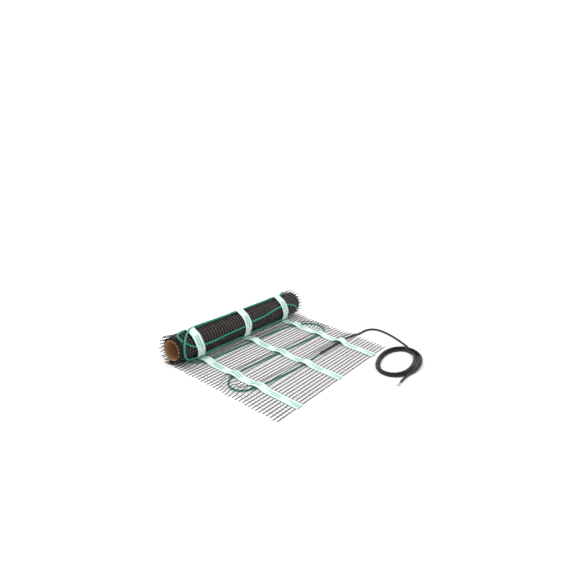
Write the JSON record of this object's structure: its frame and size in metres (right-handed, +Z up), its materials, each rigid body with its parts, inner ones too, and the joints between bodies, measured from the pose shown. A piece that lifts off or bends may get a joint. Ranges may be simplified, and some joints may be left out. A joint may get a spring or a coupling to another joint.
{
  "type": "underfloor heating cable mat roll",
  "caption": "Fibreglass mesh heating mat part unrolled from a cardboard core, with cable runs, holding tapes, splice sleeve and a coiled cold lead.",
  "frame": {"origin": "centre of the mat's base on the floor, the cold lead left out", "axes": "+X along the roll, +Y from the unrolled end to the roll, +Z up"},
  "size_m": [0.5974, 0.5171, 0.0806],
  "materials": {
    "fibreglass_mesh": "coated dark scrim, slightly glossy",
    "heating_cable": "smooth green jacket",
    "holding_tape": "pale tape with soft green marks",
    "core_cardboard": "wound brown board",
    "black_jacket": "satin black",
    "conductor": "grey insulated cores"
  },
  "bodies": {
    "root": {"core_tube": "core_cardboard", "mesh_roll": "fibreglass_mesh", "mesh_flat": "fibreglass_mesh", "heating_cable_flat": "heating_cable", "heating_cable_roll": "heating_cable", "tape_top_left": "holding_tape", "tape_top_middle": "holding_tape", "tape_top_right": "holding_tape", "tape_under_left": "holding_tape", "tape_under_middle": "holding_tape", "tape_under_right": "holding_tape", "tape_roll_left": "holding_tape", "tape_roll_middle": "holding_tape", "tape_roll_right": "holding_tape", "splice_sleeve": "black_jacket", "cold_lead": "black_jacket", "lead_coil": "black_jacket", "lead_tail": "black_jacket", "conductor_left": "conductor", "conductor_right": "conductor"}
  },
  "joints": []
}
